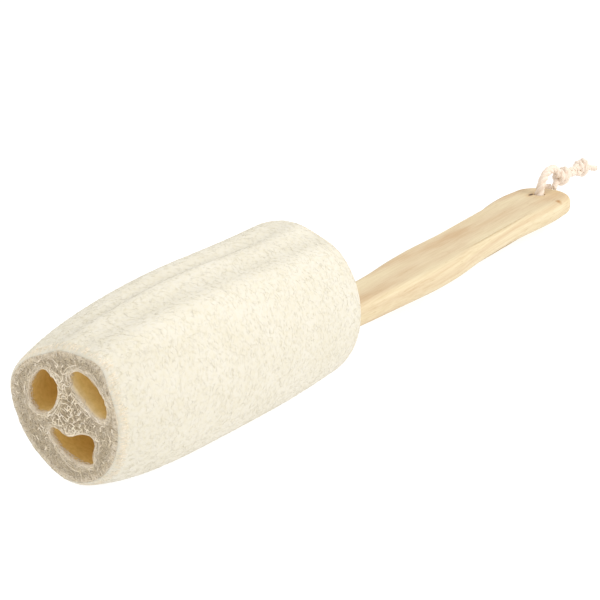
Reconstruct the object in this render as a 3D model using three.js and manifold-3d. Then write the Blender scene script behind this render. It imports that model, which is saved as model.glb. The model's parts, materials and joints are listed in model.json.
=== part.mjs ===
// A back scrubber: a length of dried loofah on a wooden paddle handle, with a knotted cotton cord to hang it by.
// Millimetres, +Z up. The scrubber lies on its back rim and on the cord under the paddle's tip.
// Pieces are drawn in the handle's own frame: +X along the handle from the loofah's cut front end,
// +Z out of the handle's broad face, and the loofah's long axis at y = z = 0.

import * as THREE from 'three';
import { mergeVertices } from 'three/addons/utils/BufferGeometryUtils.js';
import Module from 'manifold-3d';

const wasm = await Module();
wasm.setup();

// ---- driving dimensions ----
const GAP = 0.3;                      // between pieces that touch
const LOOFAH_LENGTH = 136.5;
const FRONT_RADIUS = 24.6;            // of the cut front end
const SWELL = 10.3;                   // how much wider the loofah grows behind its front end
const SWELL_LENGTH = 26;
const BACK_RIM = { length: 3.4, drop: 3.2 };
const RIM_HOLLOW = { depth: 1.5, angle: 120, width: 14, fromEnd: 6, length: 8 };
const LOBES = { height: 0.5, angle: 10 };            // three faint lobes round the section
const SWELLINGS = [                                  // and swellings and a hollow of its own
  { height: 2.8, angle: 132, width: 10 },
  { height: 1.2, angle: 8, width: 12 },
  { height: 0.9, angle: -86, width: 14 },
  { height: -1.8, angle: 65, width: 20 },
];
const LOBE_FADE_LENGTH = 55;          // they flatten out behind the front end
const FRONT_DROOP = 1.9;              // the loofah bends down a little at its front end
const BOW = { depth: 2.1, at: 107, length: 31 };     // and again towards the back
const GROOVE_FADE_LENGTH = 20;        // the grooves run out before the ends
const GROOVES = [
  { angle: 82, turn: 12, depth: 2.2, width: 5 },
  { angle: 112, turn: 8, depth: 1.4, width: 5 },
];

const TOTAL_LENGTH = 400;
const HANDLE = { y: -6.6, z: -16.1, thickness: 11.2, edge: 4.2, tangStart: 66, tipLength: 16 };
const HALF_WIDTHS = [                 // x, and how far the near and the far edge are from the handle's line
  [66, 6.4, 6.4], [110, 7.0, 7.0], [146, 7.8, 7.6], [169, 10.8, 10.0], [187, 12.6, 11.6], [205, 14.4, 12.4],
  [226, 16.2, 14.3], [250, 16.4, 15.2], [280, 14.4, 14.6], [312, 14.0, 14.5], [332, 15.1, 15.8],
  [350, 16.6, 18.0], [368, 17.6, 18.7], [384, 17.2, 17.4],
];
const CORD_HOLE = { x: 381.8, radius: 3.2 };

const NAIL = { radius: 0.9, headRadius: 2.2, headThickness: 0.8, length: 17.5, sunk: 2.2 };
const NAIL_POSITIONS = { tang_nail_front: 86, tang_nail_rear: 112 };
const GLUE = { start: 124, end: 135.9, tangHalfWidth: 7.5 };

const CORD_RADIUS = 2.5;
const KNOT = { centre: [414.6, -6.4, -7.0], radii: [7.3, 4.5, 5.4] };
const END_KNOT = { centre: [441.6, -8.5, -6.8], radii: [6.5, 4.0, 5.6] };
const LOOP_ROUTE = [
  [408.0, -6.4, -2.5], [404.6, -6.5, -0.6], [400.6, -6.6, 0.7], [396.2, -6.6, 1.0], [391.2, -6.6, 0.3],
  [386.8, -6.6, -2.0], [383.5, -6.6, -5.9], [382.0, -6.6, -10.8], [381.8, -6.6, -16.1], [381.9, -6.6, -21.2],
  [384.2, -6.2, -25.2], [388.8, -4.4, -26.9], [393.6, -1.0, -26.9], [397.6, 2.4, -25.0], [400.2, 4.2, -21.0],
  [400.9, 4.2, -16.8], [403.4, 1.8, -13.2], [408.2, -2.6, -12.4],
];
const NECK_ROUTE = [
  [422.2, -7.0, -7.0], [425.0, -7.3, -6.9], [428.4, -7.6, -6.7], [431.6, -7.9, -6.7], [434.8, -8.1, -6.8],
];
const TAIL_ROUTES = {
  hang_cord_tail_near: [[448.8, -10.4, -7.7], [451.8, -10.9, -8.5], [455.0, -11.4, -9.4], [458.0, -11.7, -10.2]],
  hang_cord_tail_far: [[448.6, -5.9, -8.4], [451.0, -6.1, -9.4], [453.4, -6.4, -10.6], [455.6, -6.6, -11.8]],
};
const TAIL_RADIUS = 1.8;
const NECK_RADII = { across: 2.7, upright: 3.0 };

const REST_TILT = THREE.MathUtils.degToRad(1.7);      // the handle's tip is low when the scrubber lies down

// How finely each piece is faceted.
const SIDES = { loofah: 64, cavity: 32, cord: 10, tail: 8, nail: 8, nailHeadHole: 10, cordHole: 16 };
const STEPS = { loofah: 12, cavity: 7, glue: 3, loop: 32, neck: 4, tail: 4 };
const END_CROWDING = 0.09;            // how much a bar's steps crowd towards its ends
const OVERCUT = 1;                    // how far a cutting solid runs past what it cuts
const NAIL_POINT = 3;

// ---- the loofah's shape ----
const bump = (offset, width) => Math.exp(-((offset / width) ** 2) / 2);
const degreesApart = (a, b) => THREE.MathUtils.euclideanModulo(a - b + 180, 360) - 180;

function growth(x) {
  return 1 + (SWELL / FRONT_RADIUS) * (1 - Math.exp(-x / SWELL_LENGTH));
}

function outlineRadius(angle, x) {
  const fade = 0.2 + 0.8 * Math.exp(-((x / LOBE_FADE_LENGTH) ** 2));
  let lobes = LOBES.height * Math.cos(THREE.MathUtils.degToRad(3 * (angle - LOBES.angle)));
  for (const swelling of SWELLINGS) {
    lobes += swelling.height * bump(degreesApart(angle, swelling.angle), swelling.width);
  }
  const fromEnd = LOOFAH_LENGTH - x;
  const drop = FRONT_DROOP * fade + BOW.depth * bump(x - BOW.at, BOW.length);
  let radius = (FRONT_RADIUS + fade * lobes) * growth(x) - drop * Math.sin(THREE.MathUtils.degToRad(angle));
  radius -= RIM_HOLLOW.depth * bump(degreesApart(angle, RIM_HOLLOW.angle), RIM_HOLLOW.width)
    * bump(fromEnd - RIM_HOLLOW.fromEnd, RIM_HOLLOW.length);
  const away = (distance) => 1 - Math.exp(-((distance / GROOVE_FADE_LENGTH) ** 2));
  for (const groove of GROOVES) {
    const centre = groove.angle + groove.turn * x / LOOFAH_LENGTH;
    radius -= away(x) * away(fromEnd) * groove.depth * bump(degreesApart(angle, centre), groove.width);
  }
  const intoRim = Math.max(0, 1 - fromEnd / BACK_RIM.length);
  return radius - BACK_RIM.drop * intoRim ** 2;
}

// A seed cavity's section, at the front end and well inside, is an oval with pushes out of it or into it.
// It grows with the loofah.
const CAVITIES = [
  {
    front: { centre: [9.5, 4.2], halfLong: 9.1, halfShort: 6.3, tilt: 121, pushes: [[-1.4, 4, 15]] },
    inner: { centre: [10, 5], halfLong: 9.5, halfShort: 6.6, tilt: 127, pushes: [] },
  },
  {
    front: { centre: [-12.3, 7.5], halfLong: 9.1, halfShort: 4.8, tilt: 52, pushes: [[2.6, -41, 22]] },
    inner: { centre: [-11.8, 8.9], halfLong: 9.8, halfShort: 5.6, tilt: 45, pushes: [] },
  },
  {
    front: { centre: [-1.7, -12.7], halfLong: 10.5, halfShort: 5.3, tilt: 23, pushes: [[-3.3, 66, 32], [5.3, 118, 16]] },
    inner: { centre: [-4.9, -11.7], halfLong: 11.2, halfShort: 6.2, tilt: 0, pushes: [] },
  },
];
const HANDLE_CAVITY = CAVITIES[2];

function ovalPoint({ centre, halfLong, halfShort, tilt, pushes }, angle, inset) {
  let push = -inset;
  for (const [height, at, width] of pushes) {
    push += height * bump(degreesApart(angle, at), width);
  }
  const t = THREE.MathUtils.degToRad(angle);
  const u = (halfLong + push) * Math.cos(t);
  const v = (halfShort + push) * Math.sin(t);
  const turn = THREE.MathUtils.degToRad(tilt);
  return [
    centre[0] + u * Math.cos(turn) - v * Math.sin(turn),
    centre[1] + u * Math.sin(turn) + v * Math.cos(turn),
  ];
}

function cavityPoint(cavity, angle, x, inset = 0) {
  const grown = growth(Math.max(0, x));
  const along = (grown - 1) * FRONT_RADIUS / SWELL;
  const front = ovalPoint(cavity.front, angle, inset / grown);
  const inner = ovalPoint(cavity.inner, angle, inset / grown);
  return front.map((value, i) => THREE.MathUtils.lerp(value, inner[i], along) * grown);
}

// ---- helpers ----
function weld(geometry) {
  const bare = geometry.index ? geometry.toNonIndexed() : geometry.clone();
  bare.deleteAttribute('normal');
  bare.deleteAttribute('uv');
  return mergeVertices(bare, 1e-4);
}

function toSolid(geometry) {
  const welded = weld(geometry);
  return new wasm.Manifold(new wasm.Mesh({
    numProp: 3,
    vertProperties: new Float32Array(welded.attributes.position.array),
    triVerts: new Uint32Array(welded.index.array),
  }));
}

function toGeometry(solid) {
  const mesh = solid.getMesh();
  const geometry = new THREE.BufferGeometry();
  geometry.setAttribute('position', new THREE.BufferAttribute(mesh.vertProperties, 3));
  geometry.setIndex(new THREE.BufferAttribute(mesh.triVerts, 1));
  return geometry;
}

function piece(name, geometry, color, roughness, metalness = 0) {
  const flat = geometry.index ? geometry.toNonIndexed() : geometry;
  flat.computeVertexNormals();
  const mesh = new THREE.Mesh(flat, new THREE.MeshStandardMaterial({ color, roughness, metalness }));
  mesh.name = name;
  return mesh;
}

// A round bar along the loofah from x = start to end, whose section at each angle and x is given by place().
function bar(sides, steps, start, end, place) {
  const circle = new THREE.Shape();
  circle.absarc(0, 0, 1, 0, 2 * Math.PI);
  const settings = { depth: 1, steps, bevelEnabled: false, curveSegments: sides / 2 };
  const geometry = new THREE.ExtrudeGeometry(circle, settings);
  const position = geometry.attributes.position;
  for (let i = 0; i < position.count; i += 1) {
    const angle = THREE.MathUtils.radToDeg(Math.atan2(position.getY(i), position.getX(i)));
    const t = position.getZ(i);
    const x = start + (end - start) * (t - END_CROWDING * Math.sin(2 * Math.PI * t));
    const [y, z] = place(angle, x);
    position.setXYZ(i, x, y, z);
  }
  return geometry;
}

function rod(x, low, high, radius, sides) {
  const geometry = new THREE.CylinderGeometry(radius, radius, high - low, sides);
  geometry.rotateX(Math.PI / 2);
  return geometry.translate(x, HANDLE.y, (low + high) / 2);
}

function tube(points, across, upright, sides, steps) {
  const curve = new THREE.CatmullRomCurve3(points.map((point) => new THREE.Vector3(...point)), false, 'centripetal');
  const section = new THREE.Shape();
  section.absellipse(0, 0, across, upright, 0, 2 * Math.PI);
  return new THREE.ExtrudeGeometry(section, { steps, extrudePath: curve, curveSegments: sides / 2 });
}

// ---- loofah ----
// How low the loofah's skin is below the handle's centre line.
function loofahBottom(x) {
  const angle = -Math.acos(HANDLE.y / (FRONT_RADIUS + SWELL));
  return outlineRadius(THREE.MathUtils.radToDeg(angle), x) * Math.sin(angle);
}

function loofah() {
  let solid = toSolid(bar(SIDES.loofah, STEPS.loofah, 0, LOOFAH_LENGTH, (angle, x) => {
    const radius = outlineRadius(angle, x);
    const t = THREE.MathUtils.degToRad(angle);
    return [radius * Math.cos(t), radius * Math.sin(t)];
  }));
  for (const cavity of CAVITIES) {
    const wall = (angle, x) => cavityPoint(cavity, angle, x);
    solid = solid.subtract(toSolid(
      bar(SIDES.cavity, STEPS.cavity, -OVERCUT, LOOFAH_LENGTH + OVERCUT, wall)));
  }
  for (const x of Object.values(NAIL_POSITIONS)) {
    const surface = loofahBottom(x);
    const low = surface - OVERCUT;
    const top = surface + NAIL.sunk + NAIL.headThickness + GAP;
    solid = solid.subtract(toSolid(rod(x, low, HANDLE.z, NAIL.radius + GAP, SIDES.nail)));
    solid = solid.subtract(toSolid(rod(x, low, top, NAIL.headRadius + GAP, SIDES.nailHeadHole)));
  }
  return piece('loofah', toGeometry(solid), 0xf5efd3, 0.95);
}

// ---- handle ----
function handle() {
  const outline = new THREE.Shape();
  const near = HALF_WIDTHS.map(([x, half]) => new THREE.Vector2(x, -half));
  const far = HALF_WIDTHS.map(([x, , half]) => new THREE.Vector2(x, half)).reverse();
  const tipX = TOTAL_LENGTH - HANDLE.tipLength;
  outline.moveTo(near[0].x, near[0].y);
  outline.splineThru(near.slice(1));
  const [nearTip, farTip] = [near.at(-1).y, far[0].y];
  outline.absellipse(
    tipX, (nearTip + farTip) / 2, HANDLE.tipLength, (farTip - nearTip) / 2, -Math.PI / 2, Math.PI / 2);
  outline.splineThru(far.slice(1));
  outline.closePath();
  const board = new THREE.ExtrudeGeometry(outline, {
    depth: HANDLE.thickness - 2 * HANDLE.edge,
    bevelThickness: HANDLE.edge,
    bevelSize: HANDLE.edge,
    bevelOffset: -HANDLE.edge,
    bevelSegments: 3,
    curveSegments: 3,
  });
  board.translate(0, HANDLE.y, HANDLE.z - HANDLE.thickness / 2 + HANDLE.edge);
  let solid = toSolid(board);
  const reach = HANDLE.thickness;
  solid = solid.subtract(toSolid(
    rod(CORD_HOLE.x, HANDLE.z - reach, HANDLE.z + reach, CORD_HOLE.radius, SIDES.cordHole)));
  for (const x of Object.values(NAIL_POSITIONS)) {
    const tip = loofahBottom(x) + NAIL.sunk + NAIL.length;
    solid = solid.subtract(toSolid(rod(x, HANDLE.z - reach, tip + GAP, NAIL.radius + GAP, SIDES.nail)));
  }
  return piece('handle', toGeometry(solid), 0xecd2ac, 0.6);
}

// ---- nails and glue inside the loofah ----
function nail(name, x) {
  const head = loofahBottom(x) + NAIL.sunk;
  const profile = [
    [0, 0], [NAIL.headRadius, 0], [NAIL.headRadius, NAIL.headThickness], [NAIL.radius, NAIL.headThickness],
    [NAIL.radius, NAIL.length - NAIL_POINT], [0, NAIL.length],
  ].map(([radius, height]) => new THREE.Vector2(radius, height));
  const geometry = new THREE.LatheGeometry(profile, SIDES.nail).rotateX(Math.PI / 2);
  const mesh = piece(name, weld(geometry), 0xb9b9b4, 0.35, 1);
  mesh.position.set(x, HANDLE.y, head);
  return mesh;
}

function glueCollar() {
  const wall = (angle, x) => cavityPoint(HANDLE_CAVITY, angle, x, GAP);
  const fill = toSolid(bar(SIDES.cavity, STEPS.glue, GLUE.start, GLUE.end, wall));
  const tang = new THREE.BoxGeometry(
    GLUE.end - GLUE.start + 2 * OVERCUT, 2 * (GLUE.tangHalfWidth + GAP), HANDLE.thickness + 2 * GAP);
  tang.translate((GLUE.start + GLUE.end) / 2, HANDLE.y, HANDLE.z);
  return piece('glue_collar', toGeometry(fill.subtract(toSolid(tang))), 0xd9c79a, 0.4);
}

// ---- hang cord ----
function knot(name, { centre, radii }) {
  const mesh = piece(name, weld(new THREE.SphereGeometry(1, 14, 10)), 0xefe0d0, 0.9);
  mesh.scale.set(...radii);
  mesh.position.set(...centre);
  return mesh;
}

function hangCord() {
  const cord = new THREE.Group();
  const cotton = (name, geometry) => piece(name, weld(geometry), 0xf4e6d6, 0.9);
  cord.add(
    cotton('hang_cord_loop', tube(LOOP_ROUTE, CORD_RADIUS, CORD_RADIUS, SIDES.cord, STEPS.loop)),
    knot('hang_cord_knot', KNOT),
    cotton('hang_cord_neck', tube(NECK_ROUTE, NECK_RADII.upright, NECK_RADII.across, SIDES.cord, STEPS.neck)),
    knot('hang_cord_end_knot', END_KNOT),
  );
  for (const [name, route] of Object.entries(TAIL_ROUTES)) {
    cord.add(cotton(name, tube(route, TAIL_RADIUS, TAIL_RADIUS, SIDES.tail, STEPS.tail)));
  }
  return cord;
}

// ---- the whole scrubber, laid down ----
const lying = new THREE.Group();
lying.rotation.y = REST_TILT;
lying.add(loofah(), handle(), glueCollar(), hangCord());
for (const [name, x] of Object.entries(NAIL_POSITIONS)) {
  lying.add(nail(name, x));
}

const scrubber = new THREE.Group();
scrubber.add(lying);

// The origin is the middle of the loofah and handle's footprint, on the surface that they lie on.
const box = new THREE.Box3();
scrubber.updateMatrixWorld(true);
for (const name of ['loofah', 'handle']) {
  box.expandByObject(scrubber.getObjectByName(name), true);
}
lying.position.set(-(box.min.x + box.max.x) / 2, -(box.min.y + box.max.y) / 2, -box.min.z);
scrubber.updateMatrixWorld(true);

export default scrubber;
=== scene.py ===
# A loofah back scrubber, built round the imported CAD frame.
# Shapes are drawn in the handle's own frame in millimetres, as in the CAD source: +X along the handle from
# the loofah's cut front end, +Z out of the handle's broad face, and the loofah's long axis at y = z = 0.
# to_row() then lays them down in the row frame, in metres.
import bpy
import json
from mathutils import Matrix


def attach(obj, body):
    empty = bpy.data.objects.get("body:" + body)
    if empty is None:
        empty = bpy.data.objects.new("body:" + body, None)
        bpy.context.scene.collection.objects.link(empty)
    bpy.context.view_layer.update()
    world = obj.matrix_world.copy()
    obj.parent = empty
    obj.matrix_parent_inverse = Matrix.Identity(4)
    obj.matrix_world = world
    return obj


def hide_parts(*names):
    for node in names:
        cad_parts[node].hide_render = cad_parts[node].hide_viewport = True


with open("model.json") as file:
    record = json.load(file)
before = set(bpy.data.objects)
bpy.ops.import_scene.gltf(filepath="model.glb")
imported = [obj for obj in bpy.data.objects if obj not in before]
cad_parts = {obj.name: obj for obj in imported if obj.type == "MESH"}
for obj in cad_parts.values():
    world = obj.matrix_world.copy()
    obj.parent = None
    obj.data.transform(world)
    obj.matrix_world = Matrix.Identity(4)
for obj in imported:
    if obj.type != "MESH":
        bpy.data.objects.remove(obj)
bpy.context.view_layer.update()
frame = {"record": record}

import json
import math

import bmesh
import bpy
import numpy as np
from mathutils import Matrix, Vector
from mathutils import noise as mnoise
from mathutils.geometry import delaunay_2d_cdt

# ---- driving dimensions, in millimetres ----
LOOFAH_LENGTH = 136.5
FRONT_RADIUS = 24.6
SWELL = 10.3
SWELL_LENGTH = 26.0
FRONT_ROUNDING = 2.4
BACK_RIM_LENGTH = 3.4
BACK_RIM_DROP = 3.2
RIM_HOLLOW = {"depth": 1.5, "angle": 120.0, "width": 14.0, "from_end": 6.0, "length": 8.0}
LOBE_HEIGHT = 0.5
LOBE_ANGLE = 10.0
LOBE_FADE_LENGTH = 55.0
SWELLINGS = [           # height, angle, width
    (2.8, 132.0, 10.0), (1.2, 8.0, 12.0), (0.9, -86.0, 14.0), (-1.8, 65.0, 20.0),
]
FRONT_DROOP = 1.9
BOW = {"depth": 2.1, "at": 107.0, "length": 31.0}
GROOVE_FADE_LENGTH = 20.0
GROOVES = [(82.0, 12.0, 2.2, 5.0), (112.0, 8.0, 1.4, 5.0)]  # angle, turn along the length, depth, width

TOTAL_LENGTH = 400.0
HANDLE_Y = -6.6
HANDLE_Z = -16.1
HANDLE_THICKNESS = 11.2
HANDLE_EDGE = 4.2
TIP_LENGTH = 16.0
HALF_WIDTHS = [         # x, and how far the near and the far edge are from the handle's line
    (66, 6.4, 6.4), (110, 7.0, 7.0), (146, 7.8, 7.6), (169, 10.8, 10.0), (187, 12.6, 11.6), (205, 14.4, 12.4),
    (226, 16.2, 14.3), (250, 16.4, 15.2), (280, 14.4, 14.6), (312, 14.0, 14.5), (332, 15.1, 15.8),
    (350, 16.6, 18.0), (368, 17.6, 18.7), (384, 17.2, 17.4),
]
CORD_HOLE_X = 381.8
CORD_HOLE_RADIUS = 3.2
HOLE_EASE = 0.3
REST_TILT = math.radians(1.7)

NAILS = {"tang_nail_front": 86.0, "tang_nail_rear": 112.0}
NAIL_RADIUS = 0.9
NAIL_HEAD_RADIUS = 2.2
NAIL_HEAD_THICKNESS = 0.8
NAIL_LENGTH = 17.5
NAIL_SUNK = 2.2
GLUE_START = 124.0
GLUE_END = 135.9
TANG_HALF_WIDTH = 7.5

CORD_RADIUS = 2.5
KNOT = ((414.6, -6.4, -7.0), (7.3, 4.5, 5.4))            # centre, radii
END_KNOT = ((441.6, -8.5, -6.8), (6.5, 4.0, 5.6))
LOOP_ROUTE = [
    (408.0, -6.4, -2.5), (404.6, -6.5, -0.6), (400.6, -6.6, 0.7), (396.2, -6.6, 1.0), (391.2, -6.6, 0.3),
    (386.8, -6.6, -2.0), (383.5, -6.6, -5.9), (382.0, -6.6, -10.8), (381.8, -6.6, -16.1),
    (381.9, -6.6, -21.2), (384.2, -6.2, -25.2), (388.8, -4.4, -26.9), (393.6, -1.0, -26.9),
    (397.6, 2.4, -25.0), (400.2, 4.2, -21.0), (400.9, 4.2, -16.8), (403.4, 1.8, -13.2), (408.2, -2.6, -12.4),
]
NECK_ROUTE = [
    (422.2, -7.0, -7.0), (425.0, -7.3, -6.9), (428.4, -7.6, -6.7), (431.6, -7.9, -6.7), (434.8, -8.1, -6.8),
]
TAIL_ROUTES = {
    "near": [(448.8, -10.4, -7.7), (451.8, -10.9, -8.5), (455.0, -11.4, -9.4), (458.0, -11.7, -10.2)],
    "far": [(448.6, -5.9, -8.4), (451.0, -6.1, -9.4), (453.4, -6.4, -10.6), (455.6, -6.6, -11.8)],
}
TAIL_RADIUS = 1.8
NECK_STRAND = 1.8
NECK_APART = 1.2        # each of the neck's two strands from its centre line
NARROWED = 1.9          # a soft cord's radius where a knot grips it
KNOT_STRAND = 1.85
HOLE_FILL = 0.55        # how much the soft cord's radius grows to fill the hole
CORD_STEPS = {"loop": 300, "knot": 200, "neck": 70, "tail": 60}
PITCH = {"loop": 13.0, "knot": 9.0, "neck": 8.0, "tail": 9.0}      # of the plies

# ---- from the handle's frame to the row frame ----
LAY_DOWN = Matrix.Rotation(REST_TILT, 3, "Y")
SWING = frame["record"]["behaviour"]["joints"][0]
HOLE_CENTRE = Vector((CORD_HOLE_X, HANDLE_Y, HANDLE_Z)) / 1000
ORIGIN = Vector(SWING["pos_m"]) - LAY_DOWN @ HOLE_CENTRE
TURN = np.array(LAY_DOWN)
SHIFT = np.array(ORIGIN)


def to_row(points):
    """Points in the handle's frame, in millimetres, as points in the row frame, in metres."""
    return np.asarray(points, float) @ TURN.T / 1000 + SHIFT


# ---- camera, lights and table ----
def material(name, settings):
    """A material, its node tree and its shader, with the shader's inputs set."""
    mat = bpy.data.materials.new(name)
    mat.use_nodes = True
    shader = mat.node_tree.nodes["Principled BSDF"]
    for key, value in settings.items():
        shader.inputs[key].default_value = value
    return mat, mat.node_tree, shader


def camera():
    data = bpy.data.cameras.new("camera")
    data.sensor_width = 36.0
    data.lens = 72.5
    data.shift_x = 0.0002
    data.shift_y = -0.0155
    data.clip_start = 0.01
    obj = bpy.data.objects.new("camera", data)
    bpy.context.scene.collection.objects.link(obj)
    right = Vector((0.5542, -0.8323, -0.0098))
    up = Vector((0.2787, 0.1745, 0.9444))
    back = right.cross(up)
    axes = LAY_DOWN @ Matrix((right, up, back)).transposed()
    place = Vector(to_row([-260.35, -269.45, 168.34]))
    obj.matrix_world = Matrix.Translation(place) @ axes.to_4x4()
    bpy.context.scene.camera = obj


def area_light(name, place, aim, size, watts):
    data = bpy.data.lights.new(name, "AREA")
    data.shape = "DISK"
    data.size = size
    data.energy = watts
    obj = bpy.data.objects.new(name, data)
    bpy.context.scene.collection.objects.link(obj)
    direction = Vector(aim) - Vector(place)
    obj.rotation_euler = direction.to_track_quat("-Z", "Y").to_euler()
    obj.location = place


def studio():
    scene = bpy.context.scene
    scene.view_settings.view_transform = "Standard"
    world = bpy.data.worlds.new("studio")
    world.use_nodes = True
    world.node_tree.nodes["Background"].inputs["Color"].default_value = (1, 1, 1, 1)
    world.node_tree.nodes["Background"].inputs["Strength"].default_value = 0.78
    scene.world = world
    area_light("key", (0.45, -1.25, 0.80), (0, 0, 0.02), 0.9, 12)
    area_light("top", (-0.2, 0.1, 1.4), (0, 0, 0.02), 1.2, 7)
    # a white table that glows, so that shadows hardly show on it, just under the lowest piece
    half = 4.0
    corners = [(-half, -half, 0), (half, -half, 0), (half, half, 0), (-half, half, 0)]
    mesh = bpy.data.meshes.new("floor")
    mesh.from_pydata(corners, [], [(0, 1, 2, 3)])
    floor = bpy.data.objects.new("floor", mesh)
    scene.collection.objects.link(floor)
    floor.location.z = -0.0002
    mat, _, _ = material("floor", {
        "Base Color": (0.35, 0.35, 0.35, 1), "Roughness": 0.9,
        "Emission Color": (1, 1, 1, 1), "Emission Strength": 0.75,
    })
    mesh.materials.append(mat)


camera()
studio()


# ---- mesh helpers ----
def mesh_object(name, verts, faces, material, smooth=True, tint=None):
    """A mesh piece from millimetre points and an (n, k) array, or a list, of faces.
    smooth is one answer, or one for each face."""
    mesh = bpy.data.meshes.new(name)
    verts = to_row(verts)
    verts[:, 2] = np.maximum(verts[:, 2], 0)
    if isinstance(faces, np.ndarray):
        count, sides = faces.shape
        mesh.vertices.add(len(verts))
        mesh.vertices.foreach_set("co", verts.astype(np.float32).ravel())
        mesh.loops.add(count * sides)
        mesh.loops.foreach_set("vertex_index", faces.astype(np.int32).ravel())
        mesh.polygons.add(count)
        mesh.polygons.foreach_set("loop_start", np.arange(0, count * sides, sides, dtype=np.int32))
        mesh.update(calc_edges=True)
    else:
        mesh.from_pydata(verts.tolist(), [], faces)
    mesh.polygons.foreach_set("use_smooth", np.broadcast_to(smooth, len(mesh.polygons)).astype(bool))
    if tint is not None:
        layer = mesh.color_attributes.new("tint", "FLOAT_COLOR", "POINT")
        colour = np.ones((len(verts), 4), np.float32)
        colour[:, :3] = tint
        layer.data.foreach_set("color", colour.ravel())
    mesh.materials.append(material)
    obj = bpy.data.objects.new(name, mesh)
    bpy.context.scene.collection.objects.link(obj)
    return obj


def face_outwards(obj):
    """Turn every face of a closed piece to face out."""
    build = bmesh.new()
    build.from_mesh(obj.data)
    bmesh.ops.recalc_face_normals(build, faces=build.faces)
    build.to_mesh(obj.data)
    build.free()


def weld(parts):
    """Join (points, faces) parts, and make points that coincide one.
    Gives the points, the faces, the part each face is of, and the given point each kept point was."""
    verts, faces, part_of, first = [], [], [], 0
    for k, (points, part_faces) in enumerate(parts):
        points = points.reshape(-1, 3)
        verts.append(points)
        faces += [[first + i for i in face] for face in part_faces.tolist()]
        part_of += [k] * len(part_faces)
        first += len(points)
    verts = np.concatenate(verts)
    keys = np.round(verts * 500).astype(np.int64)
    _, first_seen, same = np.unique(keys, axis=0, return_index=True, return_inverse=True)
    same = same.ravel()
    return verts[first_seen], [[int(same[i]) for i in face] for face in faces], np.array(part_of), first_seen


def unit(v):
    return v / np.maximum(np.linalg.norm(v, axis=-1, keepdims=True), 1e-12)


def carried_frames(paths):
    """Two directions across each path, carried along it without twisting."""
    along = unit(np.gradient(paths, axis=1))
    across = np.empty_like(paths)
    across[:, 0] = unit(np.cross(along[:, 0], np.array([0.31, 0.52, 0.79])))
    for k in range(1, paths.shape[1]):
        carried = across[:, k - 1]
        across[:, k] = unit(carried - along[:, k] * np.sum(carried * along[:, k], axis=-1, keepdims=True))
    return across, np.cross(along, across)


def tube_arrays(paths, radii, sides):
    """Closed tubes along many polylines at once. paths is (fibres, points, 3), radii is (fibres, points)."""
    count, steps, _ = paths.shape
    across, other = carried_frames(paths)
    turn = (np.arange(sides) * 2 * np.pi / sides)[None, None, :, None]
    ring = across[:, :, None] * np.cos(turn) + other[:, :, None] * np.sin(turn)
    verts = (paths[:, :, None] + ring * radii[:, :, None, None]).reshape(-1, 3)
    index = np.arange(count * steps * sides).reshape(count, steps, sides)
    a = index[:, :-1]
    b = index[:, 1:]
    quads = np.stack([a, np.roll(a, -1, 2), np.roll(b, -1, 2), b], -1).reshape(-1, 4)
    caps = np.concatenate([index[:, 0, ::-1], index[:, -1]], 0)
    return verts, quads, caps


def to_triangles(quads, caps):
    split = np.concatenate([quads[:, [0, 1, 2]], quads[:, [0, 2, 3]]])
    fans = [caps[:, [0, k, k + 1]] for k in range(1, caps.shape[1] - 1)]
    return np.concatenate([split] + fans)


def fibres(name, paths, radii, sides, material, tint):
    """One piece of many closed fibres. tint is one colour for each fibre."""
    verts, quads, caps = tube_arrays(paths, radii, sides)
    each = paths.shape[1] * sides
    return mesh_object(name, verts, to_triangles(quads, caps), material, True, np.repeat(tint, each, axis=0))


def smooth_path(points, per_span):
    """A Catmull-Rom curve through the points."""
    p = np.asarray(points, float)
    p = np.concatenate([2 * p[:1] - p[1:2], p, 2 * p[-1:] - p[-2:-1]])
    t = np.linspace(0, 1, per_span, endpoint=False)[:, None]
    spans = []
    for a, b, c, d in zip(p[:-3], p[1:-2], p[2:-1], p[3:]):
        spans.append(b + (c - a) * t / 2 + (2 * a - 5 * b + 4 * c - d) * t ** 2 / 2
                     + (3 * b - a - 3 * c + d) * t ** 3 / 2)
    return np.concatenate(spans + [p[-2:-1]])


def path_length(points):
    return float(np.linalg.norm(np.diff(points, axis=0), axis=1).sum())


def distances_along(points):
    return np.concatenate([[0], np.cumsum(np.linalg.norm(np.diff(points, axis=0), axis=1))])


def evenly(points, count):
    """The same curve with its points evenly spaced."""
    along = distances_along(points)
    places = np.linspace(0, along[-1], count)
    return np.stack([np.interp(places, along, points[:, k]) for k in range(3)], -1)


def loop_edges(loops):
    """The edges that close each loop, where the loops' points are numbered one after another."""
    edges = []
    first = 0
    for loop_points in loops:
        n = len(loop_points)
        edges += [(first + k, first + (k + 1) % n) for k in range(n)]
        first += n
    return edges


def triangulated(points, edges):
    """Flat points and the triangles between them, with the given edges kept."""
    found = delaunay_2d_cdt([Vector(p) for p in points], edges, [], 0, 1e-5)
    return np.array([tuple(v) for v in found[0]]), np.array(found[2])


# ---- materials ----
def node(tree, kind, **values):
    made = tree.nodes.new(kind)
    for key, value in values.items():
        if key in made.inputs:
            made.inputs[key].default_value = value
        else:
            setattr(made, key, value)
    return made


def ramp(tree, factor, stops):
    made = node(tree, "ShaderNodeValToRGB")
    elements = made.color_ramp.elements
    for k, (place, colour) in enumerate(stops):
        element = elements[k] if k < 2 else elements.new(place)
        element.position = place
        element.color = (*colour, 1)
    tree.links.new(factor, made.inputs["Fac"])
    return made.outputs["Color"]


def multiply(tree, a, b):
    mix = node(tree, "ShaderNodeMix", data_type="RGBA", blend_type="MULTIPLY", Factor=1.0)
    tree.links.new(a, mix.inputs[6])
    tree.links.new(b, mix.inputs[7])
    return mix.outputs[2]


def mottled(tree, colour, noise, low, dark, high):
    """The colour, darkened where the noise is under low and untouched where it is over high."""
    return multiply(tree, colour, ramp(tree, noise, [(low, dark), (high, (1, 1, 1))]))


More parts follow.
